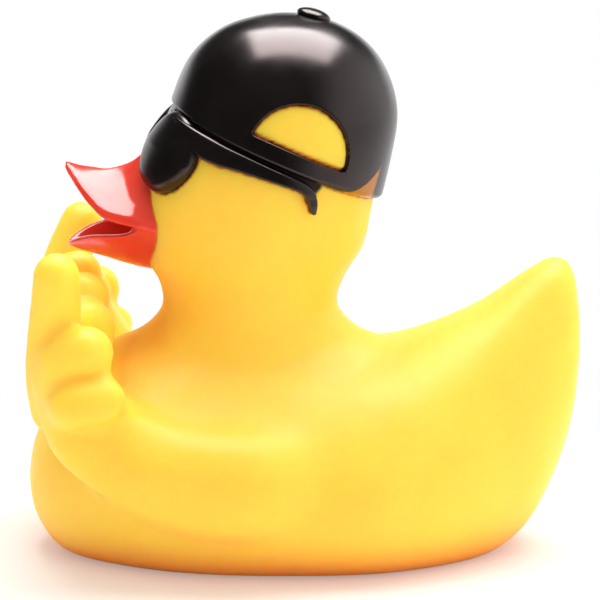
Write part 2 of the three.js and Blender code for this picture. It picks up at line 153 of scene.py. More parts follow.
# %% [markdown]
# ## Arms and hands
#
# A limb is a rolled form along a curved line, with round ends. The arm leaves the
# flank, runs along the body and turns up at the breast. A hand is a ball for the
# palm, bent limbs for the folded fingers and the thumb, and a straight one for the
# finger that is held up. Extruding fingers from a box would need many small edits, but
# limbs only have to overlap, because they are melted together in the next step. The
# hand is drawn upright and then leant outwards by a matrix, and the matrix of the
# right hand also mirrors it.

# %% Arms and hands
def limb(bm, stations, flatness=1.0, matrix=Matrix(), around=28, along=44):
    """A round-ended limb through stations, each a place and a radius."""
    def place(angle, share):
        t = min(max((share - 0.16) / 0.68, 0), 1)
        end = 0.5 * math.pi * max(0.16 - share, share - 0.84, 0) / 0.16
        x, y, z, r = through(stations, t)
        ahead = (through(stations, t + 0.01) - through(stations, t - 0.01)).to_3d().normalized()
        across = (Vector((0, 1, 0)) - ahead.y * ahead).normalized()
        spot = Vector((x, y, z)) + ahead * math.copysign(r * math.sin(end), share - 0.5)
        r *= math.cos(end)
        spot += across * r * flatness * math.cos(angle) + ahead.cross(across) * r * math.sin(angle)
        return matrix @ spot
    roll(bm, around, along, place)


def ball(bm, size, at, matrix=Matrix()):
    """A ball stretched to a size, standing at a place."""
    matrix = matrix @ Matrix.Translation(at) @ Matrix.Diagonal((*size, 1))
    return bmesh.ops.create_uvsphere(bm, u_segments=32, v_segments=20, radius=0.5, matrix=matrix)


ARM = [
    (-7.03, 19.7, 15.9, 6.69), (6.98, 24.2, 15.6, 8.8), (18.1, 23.4, 16.5, 8.27),
    (26.34, 21.6, 20.0, 7.39), (31.99, 20.6, 24.4, 6.85), (34.8, 18.6, 31.6, 5.5),
]
LEAN = Matrix.Translation((34.17, 17.4, 33.6)) @ Matrix.Rotation(math.radians(-23), 4, "X")
FOLDED = [  # knuckle, bend and fingertip of each folded finger, then the thumb
    [(2.7, 4.4, -1.0, 3.4), (0.6, 5.2, 3.5, 3.8), (-2.7, 5.4, 5.2, 3.8), (-3.2, 5.4, 3.8, 3.5)],
    [(3.0, -5.0, -2.0, 3.5), (0.6, -5.5, 1.7, 3.6), (-2.4, -5.5, 2.7, 3.5), (-2.8, -5.4, 0.0, 3.3)],
    [(3.0, -10.0, 0.0, 3.3), (1.0, -10.8, 3.2, 3.4), (-1.6, -11.0, 4.3, 3.3), (-1.8, -10.9, 0.8, 3.1)],
    [(1.0, 6.6, -5.0, 3.0), (-1.0, 9.9, -1.3, 3.6), (-5.6, 9.7, -0.6, 3.6)],
]
RAISED = [  # x, height and radius of the finger that is held up
    (2.6, -9.4, 4.4), (2.8, -3.2, 4.3), (2.4, 2.5, 4.1), (1.9, 9.0, 3.8), (1.65, 14.9, 3.5),
]
FINGER_FOOT, FINGER_TIP, FINGER_BOW = -9.4, 14.9, 9
ARM_FLATNESS = 0.74
PALM_SIZE, PALM_AT = (11, 19, 16), (0.7, -2.6, -4.6)


def arm_and_hand(bm, rake, inset, side):
    """One arm with its hand. The rake bows the raised finger forward, the inset moves the fist forward."""
    limb(bm, ARM, ARM_FLATNESS, side)
    hand = side @ LEAN
    fist = hand @ Matrix.Translation((inset, 0, 0))
    ball(bm, PALM_SIZE, PALM_AT, fist)
    lean = math.tan(math.radians(rake))
    raised = []
    for x, z, r in RAISED:
        bow = min(FINGER_BOW, FINGER_TIP - z, z - FINGER_FOOT)
        raised.append((x + lean * bow, 0, z, r))
    limb(bm, raised, 1, hand)
    for finger in FOLDED:
        limb(bm, finger, 1, fist)


arm_and_hand(duck, 2, 0, Matrix())
arm_and_hand(duck, 18, 2.3, Matrix.Diagonal((1, -1, 1, 1)))
close(duck)
print("with arms and hands:", len(duck.faces), "faces")

# %% [markdown]
# ## Melting the forms into one skin
#
# In the casting there is no joint between a finger and the palm, only a soft crease.
# A Boolean union would leave a hard line there. Remeshing on a fine voxel grid melts
# the overlapping forms into one closed skin, and a few rounds of smoothing turn each
# hard line into a fillet of about a millimetre. The fold over each arm is much softer
# than that, and so is the heel of the hand, so the points close to their lines are
# smoothed many times more.

# %% Melt
def melt(bm, voxel, rounds):
    """One even skin round overlapping closed forms, with softened creases."""
    mesh = bpy.data.meshes.new("melt")
    bm.to_mesh(mesh)
    bm.free()
    holder = bpy.data.objects.new("melt", mesh)
    bpy.context.collection.objects.link(holder)
    remesh = holder.modifiers.new("melt", "REMESH")
    remesh.mode = "VOXEL"
    remesh.voxel_size = voxel
    skin = bmesh.new()
    skin.from_object(holder, bpy.context.evaluated_depsgraph_get())
    bpy.data.objects.remove(holder)
    bpy.data.meshes.remove(mesh)
    for _ in range(rounds):
        soften(skin, skin.verts)
    return skin


def soften(bm, verts, factor=0.5):
    bmesh.ops.smooth_vert(bm, verts=verts, factor=factor, use_axis_x=True, use_axis_y=True, use_axis_z=True)


skin = melt(duck, 0.55, 6)
for k in range(14):
    soften(skin, [v for v in skin.verts if v.co.x < 30 - 0.5 * k or v.co.z < 26 - 0.5 * k])

OVER_ARM = [  # a line along the fold between arm and body
    (29.0, 20.5, 28.5), (22.0, 22.0, 25.6), (12.0, 23.6, 24.6), (0.0, 23.4, 23.8), (-10.0, 21.6, 21.5),
]
HEEL = [(39.0, 22.0, 33.5), (38.6, 22.3, 29.0), (37.6, 22.0, 24.5)]
for points, width, rounds in ((OVER_ARM, 8, 90), (HEEL, 4, 30)):
    line = [through(points, k / 40) for k in range(41)]
    near_line = []
    for v in skin.verts:
        x, y, z = v.co
        if x > -20 and abs(y) > 13 and 13 < z < 40:
            near_line.append((min((Vector((x, abs(y), z)) - spot).length for spot in line), v))
    for k in range(rounds):
        soften(skin, [v for far, v in near_line if far < width * (1 - 0.45 * k / rounds)])
print("skin:", len(skin.faces), "faces")

# %% [markdown]
# ## The frame of the cap and the sunglasses
#
# Cap and sunglasses share one tilt. A matrix stands for it, with its middle on the
# axis of the head at the height of the cap's rim. A ray sent out from that axis finds
# the head, so a point of the cap or the frame is placed by an angle and a height and
# always lies on the head, at the depth that it stands proud.

# %% Tilted frame
GEAR = Matrix.Translation((3.97, 0, 63.0)) @ Matrix.Rotation(math.radians(-24.5), 4, "Y")
CAP = GEAR @ Matrix.Rotation(math.radians(-80), 4, "Z")

form = bmesh.new()
roll(form, 240, 320, head_place)
close(form)
head_tree = BVHTree.FromBMesh(form)
form.free()


def out_from(origin, direction):
    """The place where a ray of the tilted frame leaves the head, and the ray's own direction."""
    ray = (GEAR.to_3x3() @ Vector(direction)).normalized()
    return head_tree.ray_cast(GEAR @ Vector(origin), ray)[0], ray


print("head at the rim, in front:", out_from((0, 0, 0), (1, 0, 0))[0])

# %% [markdown]
# ## Placing a finished mesh
#
# Every piece is scaled from millimetres to metres in its mesh, shaded smooth, given
# its paint, and fixed to the one body that the duck has. The CAD solid is hidden,
# because these pieces stand for it.

# %% Helper for finished pieces
def piece(name, bm):
    bmesh.ops.scale(bm, vec=(0.001, 0.001, 0.001), verts=bm.verts)
    bmesh.ops.recalc_face_normals(bm, faces=bm.faces)
    for f in bm.faces:
        f.smooth = True
    mesh = bpy.data.meshes.new(name)
    bm.to_mesh(mesh)
    bm.free()
    thing = bpy.data.objects.new(name, mesh)
    bpy.context.collection.objects.link(thing)
    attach(thing, "root")
    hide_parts("duck")
    print(name, "has", sum(len(p.vertices) - 2 for p in mesh.polygons), "triangles")
    return thing


# %% [markdown]
# ## The cap
#
# The cap is a thick coat over the head. Its gloss shows every dent, so it starts as a
# coarse cage of rays, and Subdivision Surface rounds that cage into a clean dome. The
# half-moon gap over the strap is then opened in the fine mesh: points close to its
# outline slide onto it, faces inside are deleted, and both open edges are turned
# under, as a skin of paint and vinyl would be. In the gap the vinyl is cast a little
# thicker, so it lies just below the paint.

# %% Cap dome
CAP_RAISE = 1.28
RIM_ROUND = 0.8
CROWN = Vector((2.77, 0, 20.7)).normalized()


def cap_place(angle, share):
    lift = 0.5 * math.pi * share
    flat = Vector((math.cos(angle), math.sin(angle), 0))
    spot, ray = out_from((0, 0, RIM_ROUND), math.cos(lift) * flat + math.sin(lift) * CROWN)
    return spot + CAP_RAISE * ray


cage = bmesh.new()
roll(cage, 40, 12, cap_place)
bmesh.ops.remove_doubles(cage, verts=cage.verts, dist=1e-4)


def subdivided(bm, levels):
    """The cage's Catmull-Clark surface, as a fine mesh."""
    mesh = bpy.data.meshes.new("cage")
    bm.to_mesh(mesh)
    bm.free()
    holder = bpy.data.objects.new("cage", mesh)
    bpy.context.collection.objects.link(holder)
    smooth = holder.modifiers.new("round", "SUBSURF")
    smooth.levels = smooth.render_levels = levels
    fine = bmesh.new()
    fine.from_object(holder, bpy.context.evaluated_depsgraph_get())
    bpy.data.objects.remove(holder)
    bpy.data.meshes.remove(mesh)
    return fine


dome = subdivided(cage, 3)
print("dome:", len(dome.faces), "faces")

# %% Half-moon gap
GAP_RADIUS, STRAP, EDGE_ROUND = 7.75, 2.55, 0.3
to_cap = CAP.inverted()


def into_gap(co):
    """How far a point is outside the half moon, and the way back to its outline."""
    x, y, z = to_cap @ co
    if x > 0:
        return 99, Vector()
    corner = 0.7
    u, w = y, z - STRAP - corner
    reach = GAP_RADIUS + EDGE_ROUND - corner
    flat = Vector((u, w + corner))
    near = flat * (reach / max(flat.length, reach)) - Vector((0, corner))
    if near.y < 0:
        half = math.sqrt(reach ** 2 - corner ** 2)
        near = Vector((min(max(u, -half), half), 0))
    gone = Vector((u, w)) - near
    if gone.length < 1e-6:
        return -min(reach - flat.length, w) - corner, Vector()
    return gone.length - corner, CAP.to_3x3() @ Vector((0, *gone.normalized()))


surface = BVHTree.FromBMesh(dome)
outline = []
for v in dome.verts:
    far, way = into_gap(v.co)
    if abs(far) < 0.26 and way.length:
        v.co = surface.find_nearest(v.co - far * way)[0]
        outline.append(v)
bmesh.ops.connect_verts(dome, verts=outline)
inside = [f for f in dome.faces if into_gap(f.calc_center_median())[0] < 0]
bmesh.ops.delete(dome, geom=inside, context="FACES")
print("gap outline:", len(outline), "points,", len(inside), "faces taken out")


# %% Edges turned under
def turn_under(bm, edges, radius, depth, steps=5):
    """Rounds an open edge over by a radius and runs it down into what lies below."""
    bm.normal_update()
    ways = {}
    for e in edges:
        face = e.link_faces[0]
        way = (e.verts[1].co - e.verts[0].co).cross(face.normal).normalized()
        if way.dot(face.calc_center_median() - e.verts[0].co) > 0:
            way.negate()
        for v in e.verts:
            ways.setdefault(v, []).append(way)
    start = {}
    for v in ways:
        start[v.co.to_tuple(4)] = (v.co.copy(), sum(ways[v], Vector()).normalized(), v.normal.copy())
    for k in range(1, steps + 2):
        made = bmesh.ops.extrude_edge_only(bm, edges=edges)["geom"]
        edges = [g for g in made if isinstance(g, bmesh.types.BMEdge)]
        turn = 0.5 * math.pi * min(k / steps, 1)
        moved = {}
        for v in (g for g in made if isinstance(g, bmesh.types.BMVert)):
            co, way, up = start[v.co.to_tuple(4)]
            v.co = co + way * radius * math.sin(turn) - up * radius * (1 - math.cos(turn))
            if k > steps:
                v.co -= up * depth
            moved[v.co.to_tuple(4)] = (co, way, up)
        start = moved


GAP_THICKER = 0.75
for v in skin.verts:
    deep = -into_gap(v.co)[0] - EDGE_ROUND
    if deep > 0:
        out = to_cap @ v.co
        v.co += CAP.to_3x3() @ Vector((out.x, out.y, 0)).normalized() * GAP_THICKER * min(deep / 0.6, 1)

open_edges = [e for e in dome.edges if e.is_boundary]
gap_edges = [e for e in open_edges if into_gap(e.verts[0].co)[0] < 1]
rim_edges = [e for e in open_edges if e not in set(gap_edges)]
turn_under(dome, gap_edges, EDGE_ROUND, 1.4)
turn_under(dome, rim_edges, RIM_ROUND, 1.0)
print("gap edge:", len(gap_edges), "segments; rim:", len(rim_edges))

# %% [markdown]
# ## Peak and button
#
# The peak is a stiff curved tongue on the side that the cap is turned to, and the
# button is a flat knob on the crown. The peak could be extruded from the rim, but then
# its outline would depend on the rim's points. A flat grid is bent into place instead,
# given its thickness by solidify and rounded along its edges by bevel.

# %% Cap peak and button
PEAK_ROOT, PEAK_REACH, PEAK_TUCK, PEAK_THICKNESS = 17.3, 12.5, 2.5, 1.8
PEAK_SPREAD, PEAK_SLOPE = math.radians(47), math.tan(math.radians(20))
button_at = Matrix.Translation((-2.1, 0, 83.45)) @ Matrix.Rotation(math.radians(-16), 4, "Y")
ball(dome, (5.3, 5.3, 2.1), (0, 0, 0), button_at)

peak = bmesh.new()
bmesh.ops.create_grid(peak, x_segments=56, y_segments=20, size=1)
for v in peak.verts:
    side, share = v.co.x, 0.5 + 0.5 * v.co.y
    out = -PEAK_TUCK + share * (PEAK_TUCK + PEAK_REACH * (1 - 0.998 * side ** 2) ** 0.8)
    fall = out * (PEAK_SLOPE + 2.4 * side ** 2 / PEAK_REACH)
    turn = Matrix.Rotation(side * PEAK_SPREAD, 4, "Z")
    v.co = CAP @ turn @ Vector((PEAK_ROOT + out, 0, PEAK_THICKNESS - fall))
bmesh.ops.solidify(peak, geom=peak.faces[:], thickness=PEAK_THICKNESS)
bmesh.ops.recalc_face_normals(peak, faces=peak.faces)
sharp = [e for e in peak.edges if e.calc_face_angle(0) > 1.0]
bmesh.ops.bevel(
    peak, geom=sharp, offset=0.55, offset_type="OFFSET", affect="EDGES", segments=3, profile=0.5, material=-1,
)
cap = piece("cap", dome)
cap_peak = piece("cap_peak", peak)

# %% [markdown]
# ## The sunglasses
#
# The frame is one ribbon of vinyl that lies round the head: a thin brow bar in front,
# temples that taper backwards, and a hook that bends down behind each temple. Its
# rows give the angle round the head, the height, half its width and how far it stands
# proud. A curve with a bevel could make the ribbon, but it would not lie on the head:
# here each point is found by a ray. The lenses are smooth domes that bulge from under
# the bar, and their flat fronts drop steeply at the edge.

# %% Sunglasses frame
TEMPLE = [  # angle round the head, height, half width, how far it stands proud
    (0, -1.5, 0.8, 0.8), (14, -1.5, 0.85, 1.1), (28, -1.45, 0.95, 1.7), (42, -1.68, 1.22, 1.8),
    (55, -2.2, 1.8, 1.6), (65, -2.15, 1.7, 1.4), (76, -1.8, 1.4, 1.4), (88, -1.56, 1.14, 1.4),
    (99, -1.4, 0.95, 1.4), (106.5, -1.4, 0.85, 1.4), (111.5, -1.75, 0.85, 1.4), (114.5, -2.55, 0.8, 1.3),
    (116.6, -3.4, 0.62, 1.3), (118.6, -4.5, 0.34, 1.1),
]
RIBBON = [(-a, *rest) for a, *rest in reversed(TEMPLE[1:])] + TEMPLE
HEAD_RADIUS, TUCK, SQUARENESS = 18.5, 0.6, 0.36


def frame_place(angle, share):
    t = min(max((share - 0.01) / 0.98, 0), 1)
    end = max(1 - max(0.01 - share, share - 0.99, 0) / 0.01, 0)
    at, height, half, proud = through(RIBBON, t)
    ahead = through(RIBBON, t + 0.002) - through(RIBBON, t - 0.002)
    run = Vector((math.radians(ahead[0]) * HEAD_RADIUS, ahead[1])).normalized()
    across, up = math.cos(angle), math.sin(angle)
    w = half * math.copysign(abs(across) ** SQUARENESS, across) * math.sqrt(end)
    h = (proud + TUCK) * up ** SQUARENESS * math.sqrt(end) if up > 0 else 0.0
    height += w * run.x
    at = math.radians(at) - w * run.y / HEAD_RADIUS
    spot, ray = out_from((0, 0, height), (math.cos(at), math.sin(at), 0))
    return spot + ray * (h - TUCK)


# %% Lenses
LENS_WIDTH, LENS_HEIGHT, LENS_DROP, LENS_PROUD = 7.5, 6.4, 6.1, 2.8
LENS_TURN, LENS_CORNER = math.radians(30), 2.4


def lens_place(side):
    def place(angle, share):
        c, up = math.cos(angle), math.sin(angle)
        reach = share / (abs(c) ** LENS_CORNER + abs(up) ** LENS_CORNER) ** (1 / LENS_CORNER)
        height = LENS_HEIGHT * reach * up
        across = LENS_WIDTH * reach * c * (1 + 0.2 * min(height / LENS_HEIGHT, 0))
        at = side * (LENS_TURN + across / 18)
        spot, ray = out_from((0, 0, height - LENS_DROP), (math.cos(at), math.sin(at), 0))
        proud = LENS_PROUD - 0.7 * max(height / LENS_HEIGHT, 0)
        return spot + ray * (proud * math.sqrt(max(1 - share ** 12, 0)) - 0.5)
    return place


glasses = bmesh.new()
roll(glasses, 36, 300, frame_place)
for side in (1, -1):
    roll(glasses, 80, 40, lens_place(side))
close(glasses)
sunglasses = piece("sunglasses", glasses)

# %% [markdown]
# ## The bill
#
# The bill is an open pair of scoops on a short plug that closes the throat. Each scoop
# is rolled so that one half of the way round is its outside and the other half its
# inside. Carving a mouth out of a solid bill would leave lips of uneven thickness. The
# upper scoop is roof-shaped in front and rounder at its root. The three forms are
# melted like the body, on a finer grid, so that the lips stay thin.

# %% Bill
UPPER = [  # x, lip, ridge, half width, roundness
    (17.7, 50.6, 66.2, 8.8, 2.0), (23.5, 51.6, 62.9, 9.4, 1.6), (26.2, 52.3, 60.95, 9.6, 1.1),
    (29.6, 53.2, 59.9, 9.2, 1.15), (32.0, 55.0, 60.1, 7.5, 1.3), (34.0, 57.1, 60.35, 5.1, 1.5),
    (35.4, 58.8, 60.75, 2.9, 1.7), (36.3, 59.9, 61.1, 1.2, 1.9),
]
LOWER = [  # x, lip, keel, half width, roundness
    (17.7, 52.1, 43.3, 8.4, 2), (23.5, 51.8, 44.1, 8.9, 2), (26.9, 50.9, 45.0, 9.1, 2),
    (29.6, 50.7, 45.9, 8.8, 2), (32.0, 50.4, 46.6, 7.3, 2), (34.0, 49.7, 47.1, 5.2, 2),
    (35.2, 49.1, 47.5, 3.4, 2), (36.0, 48.6, 47.9, 1.6, 2),
]


def scoop(bm, rows, wall, face):
    """An open shell with an upright face along its lip: half of the way round is its outside."""
    def place(angle, share):
        x, lip, ridge, half, roundness = through(rows, share)
        across, tall = math.cos(angle), ridge - lip
        step = math.copysign(min(face, 0.4 * abs(tall)), tall)
        rise = step * min(abs(math.sin(angle)) / 0.09, 1) + (tall - step) * (1 - abs(across) ** roundness)
        if angle < 0:
            across *= 1 - wall / max(half, 2 * wall)
            rise -= math.copysign(min(wall, 0.5 * abs(tall)), tall)
            rise = rise if rise * tall > 0 else 0
        return (x, half * across, lip + rise)
    roll(bm, 64, 80, place)


mouth = bmesh.new()
scoop(mouth, UPPER, 1.5, 1.3)
scoop(mouth, LOWER, 1.2, 0.3)
throat = Matrix.Translation((21.4, 0, 52.5)) @ Matrix.Diagonal((1, 18.6, 16, 1))
throat = throat @ Matrix.Rotation(math.pi / 2, 4, "Y")
plug = bmesh.ops.create_cone(
    mouth, cap_ends=True, segments=64, radius1=0.53, radius2=0.45, depth=8.4, matrix=throat,
)
for v in plug["verts"]:
    v.co.y *= 1 - max(v.co.z - 53, 0) / 16
close(mouth)
bill = piece("bill", melt(mouth, 0.25, 10))

# %% [markdown]
# ## Vent in the base
#
# A hollow casting needs a hole to breathe through when it is squeezed. The points near
# the hole's circle slide onto it, the faces inside are deleted, and the open edge is
# extruded up through the wall and closed, so the vent reads as a dark blind hole.

# %% Vent
VENT_AT, VENT_RADIUS, VENT_DEPTH = Vector((-9, 0, 0)), 1.5, 2.5
skin.verts.ensure_lookup_table()
ring = []
for v in skin.verts:
    out = Vector((v.co.x - VENT_AT.x, v.co.y - VENT_AT.y, 0))
    if v.co.z < 0.5 and abs(out.length - VENT_RADIUS) < 0.3:
        v.co = VENT_AT + VENT_RADIUS * out.normalized() + Vector((0, 0, v.co.z))
        ring.append(v)
bmesh.ops.connect_verts(skin, verts=ring)
covers = []
for f in skin.faces:
    middle = f.calc_center_median()
    if middle.z < 0.5 and (middle - VENT_AT).to_2d().length < 0.97 * VENT_RADIUS:
        covers.append(f)
bmesh.ops.delete(skin, geom=covers, context="FACES")
edge = [e for e in skin.edges if e.is_boundary]
wall = bmesh.ops.extrude_edge_only(skin, edges=edge)["geom"]
top = [g for g in wall if isinstance(g, bmesh.types.BMVert)]
bmesh.ops.translate(skin, verts=top, vec=(0, 0, VENT_DEPTH))
bmesh.ops.holes_fill(skin, edges=[e for e in skin.edges if e.is_boundary])
print("vent:", len(edge), "edges round a hole", 2 * VENT_RADIUS, "mm wide")

# %% [markdown]
# ## Where the paint thins out
#
# Paint that is sprayed through a mask doesn't stop at a line. It thins out within half
# a millimetre and turns brown over yellow. A finish needs to know how far a point is
# from the next painted form, and a distance is smooth enough to be kept at each vertex
# and cut sharply by the shader later. So every mesh gets distances, in millimetres, as
# attributes: the skin its distance to cap, sunglasses and bill, and each painted form
# its height over the skin.

# %% Distances as attributes
def keep_distance(thing, name, other, reach=6.0):
    """Stores each vertex's distance to another mesh, in millimetres and up to a reach."""
    source = bmesh.new()
    source.from_mesh(other.data)
    tree = BVHTree.FromBMesh(source)
    source.free()
    layer = thing.data.attributes.new(name, "FLOAT", "POINT")
    for v in thing.data.vertices:
        found = tree.find_nearest(v.co, 0.001 * reach)[3]
        layer.data[v.index].value = reach if found is None else 1000 * found


duck_skin = piece("duck_skin", skin)
keep_distance(duck_skin, "to_cap", cap)
keep_distance(duck_skin, "to_frame", sunglasses)
keep_distance(duck_skin, "to_bill", bill)
for thing in (cap, cap_peak, sunglasses, bill):
    keep_distance(thing, "rise", duck_skin)

# %% [markdown]
# ## How sheltered the vinyl is
#
# The folds of the duck, and the vinyl close to the floor, look orange. Here that is
# painted shade: the less of the sky reaches a point, the more orange its colour is made.
# The shader can't see a fold, and its own ambient occlusion is lost in the export. So
# rays go out from each vertex once, and the share of them that is soon stopped is kept
# as an attribute too.

# %% Shelter as an attribute
def keep_shelter_for_painted_shade(thing, others, reach=0.025, count=36):
    """Stores how much of the sky over each vertex is closed off, by the duck or by the floor."""
    whole = bmesh.new()
    for other in others:
        whole.from_mesh(other.data)
    tree = BVHTree.FromBMesh(whole)
    whole.free()
    sky = []
    for i in range(count):
        height, turn = 1 - (2 * i + 1) / count, math.radians(137.5) * i
        level = math.sqrt(1 - height ** 2)
        sky.append(Vector((level * math.cos(turn), level * math.sin(turn), height)))
    layer = thing.data.attributes.new("painted_shade_shelter", "FLOAT", "POINT")
    for v in thing.data.vertices:
        closed = total = 0.0
        start = v.co + 0.0005 * v.normal
        for ray in sky:
            weight = ray.dot(v.normal)
            if weight > 0:
                total += weight
                far = tree.ray_cast(start, ray, reach)[3] or reach
                if ray.z < 0:
                    far = min(far, -start.z / ray.z)
                closed += weight * (1 - far / reach)
        layer.data[v.index].value = closed / total
    print("shelter:", round(max(d.value for d in layer.data), 2), "in the deepest fold")


# This shelter becomes painted shade in the colour of the yellow vinyl.
keep_shelter_for_painted_shade(duck_skin, (duck_skin, cap, cap_peak, sunglasses, bill))

# %% [markdown]
# ## The thin corner of the cap
#
# Behind the strap the spray missed the rim, and the yellow shows through. A texture
# would need a layout of the dome. An angle and a height in the tilted frame say the
# same, and their distance to the corner's outline is kept at each vertex.

# %% Thin paint behind the strap
def thin_paint(co):
    """How far a point of the cap lies inside the thin corner behind the strap, in millimetres."""
    x, y, z = GEAR.inverted() @ (1000 * co)
    angle = math.degrees(math.atan2(y, x))
    slope = 0.4 + 2.9 * max((angle - 130) / 17, 0) ** 1.6
    return min(slope - z, 0.3 * (angle - 129), 0.06 * (157 - angle))


thin_layer = cap.data.attributes.new("thin", "FLOAT", "POINT")
for v in cap.data.vertices:
    thin_layer.data[v.index].value = thin_paint(v.co)
print("thin corner:", sum(d.value > 0 for d in thin_layer.data), "points")

# %% [markdown]
# ## Finishes
#
# Three finishes cover the duck: satin yellow vinyl, gloss black paint and gloss red
# paint. A few small helpers add nodes, so that each finish below reads as a recipe.
# Everything is placed by Object coordinates, so the grain has a real size.

# %% Helpers for finishes
def finish(name, **sockets):
    """A material whose Principled shader has these sockets the same all over."""
    material = bpy.data.materials.new(name)
    material.use_nodes = True
    shader = material.node_tree.nodes["Principled BSDF"]
    for socket, value in sockets.items():
        shader.inputs[socket.replace("_", " ").title().replace("Ior", "IOR")].default_value = value
    return material, material.node_tree, shader


def add(tree, kind, inputs, **settings):
    """A node with its settings. An input is a plain value, or a socket that it is linked to."""
    made = tree.nodes.new("ShaderNode" + kind)
    for key, value in settings.items():
        setattr(made, key, value)
    for key, value in inputs.items():
        if isinstance(value, bpy.types.NodeSocket):
            tree.links.new(value, made.inputs[key])
        else:
            made.inputs[key].default_value = value
    return made


def noise(tree, size, detail=3.0):
    """Soft noise whose lumps are about a size across, in millimetres."""
    place = add(tree, "TexCoord", {}).outputs["Object"]
    return add(tree, "TexNoise", {"Vector": place, "Scale": 1000 / size, "Detail": detail}).outputs["Fac"]


def kept(tree, name):
    """A distance kept at the vertices."""
    return add(tree, "Attribute", {}, attribute_name=name).outputs["Fac"]


def fade(tree, value, start, end, low, high):
    """A smooth change from low to high while a value goes from start to end."""
    span = {"Value": value, "From Min": start, "From Max": end, "To Min": low, "To Max": high}
    return add(tree, "MapRange", span, interpolation_type="SMOOTHSTEP").outputs["Result"]


def calc(tree, operation, a, b):
    return add(tree, "Math", {0: a, 1: b}, operation=operation).outputs["Value"]


def blend(tree, share, below, above):
    """A colour that goes from below to above as a share goes from 0 to 1."""
    return add(tree, "Mix", {0: share, 6: below, 7: above}, data_type="RGBA").outputs[2]


def grain(tree, shader, size, height):
    """Dimples in the surface, with a size and a height in millimetres."""
    bump = add(tree, "Bump", {"Height": noise(tree, size), "Distance": 0.001 * height, "Strength": 1.0})
    tree.links.new(bump.outputs["Normal"], shader.inputs["Normal"])


# %% [markdown]
# ## Yellow vinyl
#
# Soft vinyl lets light in. Red goes furthest, so subsurface scattering with a long red
# radius keeps its shaded folds from turning grey. Most of their orange, though, is
# painted shade: where the sky over the vinyl is closed off, by the duck or by the
# floor, its colour turns orange. The fingers are so thin that yellow light gets through
# them too, so in the hands the scattering radius is yellow, and their folds get a
# painted lemon glow. The colour drifts a little from place to place, and fine dimples
# break the sheen. Along painted edges it carries the mist of the spray gun: brown below
# the sunglasses and in the gap of the cap, dark in the groove between rim and frame,
# red round the bill.

# %% Yellow vinyl
YELLOW, DEEP_YELLOW = (1.0, 0.61, 0.065, 1), (1.0, 0.58, 0.06, 1)
# Next: an orange painted shade for sheltered vinyl, and a pale lemon painted glow for the folds of the hands.
FOLD_PAINTED_SHADE, HAND_PAINTED_GLOW = (1.0, 0.3, 0.035, 1), (1.0, 0.9, 0.06, 1)
MIST, GROOVE, RED_MIST = (0.35, 0.07, 0.008, 1), (0.022, 0.006, 0.004, 1), (0.62, 0.06, 0.02, 1)

vinyl, tree, shader = finish(
    "yellow_vinyl", subsurface_weight=0.75, subsurface_scale=0.005, specular_ior_level=0.2,
)
wander = calc(tree, "MULTIPLY", noise(tree, 1.6, 1.0), 0.3)
colour = blend(tree, fade(tree, noise(tree, 14), 0.35, 0.65, 0, 1), YELLOW, DEEP_YELLOW)
at = add(tree, "SeparateXYZ", {0: add(tree, "TexCoord", {}).outputs["Object"]}).outputs
in_front, above_breast = fade(tree, at["X"], 0.026, 0.03, 0, 1), fade(tree, at["Z"], 0.025, 0.031, 0, 1)
in_hand = calc(tree, "MULTIPLY", in_front, above_breast)
# Painted shade outside the hands, and a painted glow in their folds.
painted_shade_and_glow = blend(tree, in_hand, FOLD_PAINTED_SHADE, HAND_PAINTED_GLOW)
reach = add(tree, "CombineXYZ", {"X": 1.0, "Y": fade(tree, in_hand, 0, 1, 0.35, 0.9), "Z": 0.08})
tree.links.new(reach.outputs["Vector"], shader.inputs["Subsurface Radius"])
# Painted shade: the more closed off the sky over the vinyl is, the more its colour turns orange, or pale
# lemon in the hands.
colour = blend(tree, fade(tree, kept(tree, "painted_shade_shelter"), 0.1, 0.9, 0, 1), colour, painted_shade_and_glow)
cap_away, frame_away = kept(tree, "to_cap"), kept(tree, "to_frame")
near = calc(tree, "ADD", calc(tree, "MINIMUM", cap_away, frame_away), wander)
colour = blend(tree, fade(tree, near, 0.1, 0.6, 1, 0), colour, MIST)
between = calc(tree, "ADD", calc(tree, "ADD", cap_away, frame_away), wander)
colour = blend(tree, fade(tree, between, 1.7, 2.3, 1, 0), colour, GROOVE)
by_bill = calc(tree, "ADD", kept(tree, "to_bill"), wander)
colour = blend(tree, fade(tree, by_bill, 0.1, 0.5, 1, 0), colour, RED_MIST)
tree.links.new(colour, shader.inputs["Base Color"])
tree.links.new(fade(tree, noise(tree, 6), 0.3, 0.7, 0.42, 0.52), shader.inputs["Roughness"])
grain(tree, shader, 0.45, 0.012)
duck_skin.data.materials.append(vinyl)
print("yellow vinyl:", len(tree.nodes), "nodes")

# %% [markdown]
# ## Black paint
#
# The cap and the sunglasses wear a thick gloss coat. Its gloss is never quite even, and
# it has the faint orange peel of sprayed paint. Where the coat is thin, along each edge
# that meets the vinyl and in the corner behind the strap, the yellow shows through as
# brown.

# %% Black paint
BLACK, SOFT_BLACK = (0.004, 0.003, 0.003, 1), (0.007, 0.005, 0.005, 1)
THIN_EDGE, THIN_CORNER = (0.075, 0.012, 0.004, 1), (0.36, 0.13, 0.006, 1)

